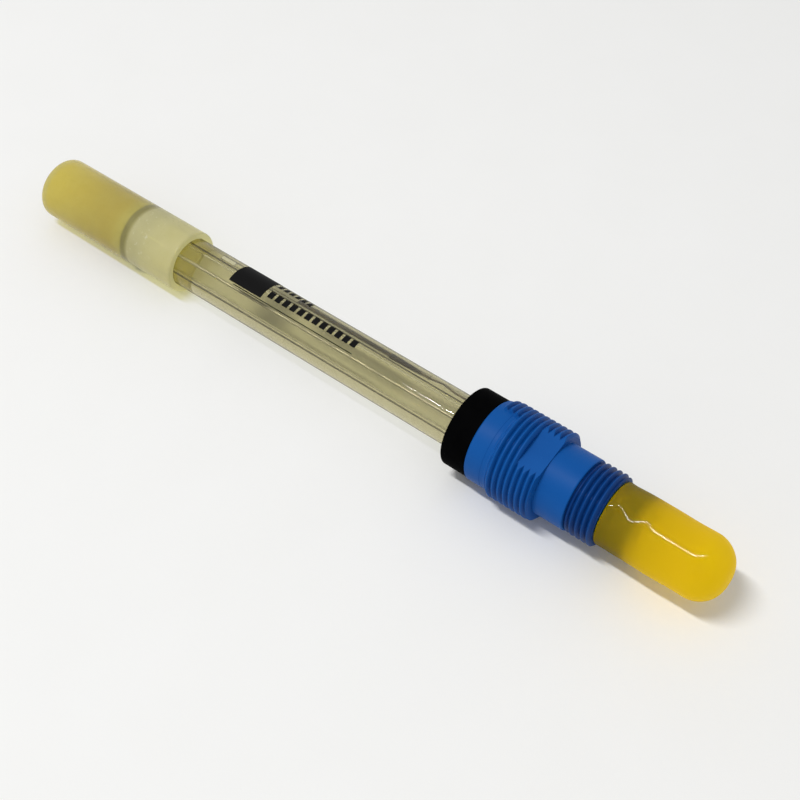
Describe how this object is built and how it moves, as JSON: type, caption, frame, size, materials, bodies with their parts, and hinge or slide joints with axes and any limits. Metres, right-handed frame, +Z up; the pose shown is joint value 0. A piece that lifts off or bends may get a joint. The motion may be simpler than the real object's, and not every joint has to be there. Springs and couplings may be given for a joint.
{
  "type": "ph electrode",
  "caption": "Combination pH electrode: clear glass shaft with inner reference system, screw-in plug head with spanner flats, storage cap on the tip and dust cap on the plug.",
  "frame": {"origin": "on the electrode's axis, in the plane of the thrust ring's front face, which seats on the holder and from which the 120 mm shaft is measured", "axes": "+X along the axis towards the plug, -X towards the glass tip, +Z up; the electrode lies on its side, as pictured"},
  "size_m": [0.1868, 0.0204, 0.0204],
  "materials": {
    "clear_glass": "clear",
    "membrane_glass": "clear",
    "white_ptfe": "satin",
    "silver": "satin",
    "buffer": "clear liquid",
    "gel": "clear gel",
    "paste": "matte",
    "wadding": "matte",
    "grey_rubber": "matte",
    "black_rubber": "satin",
    "black_plastic": "satin",
    "blue_plastic": "satin",
    "navy_plastic": "satin",
    "resin": "gloss",
    "contact_metal": "satin",
    "gilt_brass": "gloss",
    "white_insulator": "satin",
    "milky_yellow_vinyl": "translucent",
    "ochre_solution": "clear liquid",
    "yellow_vinyl": "gloss"
  },
  "bodies": {
    "electrode": {"glass_shaft": "clear_glass", "membrane_stem": "membrane_glass", "diaphragm_ring": "white_ptfe", "sensing_element": "silver", "signal_lead": "silver", "inner_buffer": "buffer", "stem_plug": "grey_rubber", "cartridge_tube": "clear_glass", "cartridge_wad": "wadding", "cartridge_paste": "paste", "reference_wire": "silver", "reference_gel": "gel", "shaft_stopper": "grey_rubber", "shaft_seal_ring": "black_rubber", "thrust_ring": "black_plastic", "head_body": "blue_plastic", "potting": "resin", "connector_sleeve": "navy_plastic", "outer_contact": "contact_metal", "insulator": "white_insulator", "centre_pin": "gilt_brass"},
    "storage_cap_body": {"storage_cap": "milky_yellow_vinyl", "cap_seal_ring": "black_rubber", "storage_solution": "ochre_solution"},
    "dust_cap_body": {"dust_cap": "yellow_vinyl"}
  },
  "joints": [
    {"name": "storage_cap_pull", "type": "slide", "parent": "electrode", "child": "storage_cap_body", "axis": [-1, 0, 0], "range_m": [0, 0.055]},
    {"name": "dust_cap_pull", "type": "slide", "parent": "electrode", "child": "dust_cap_body", "axis": [1, 0, 0], "range_m": [0, 0.02]}
  ]
}
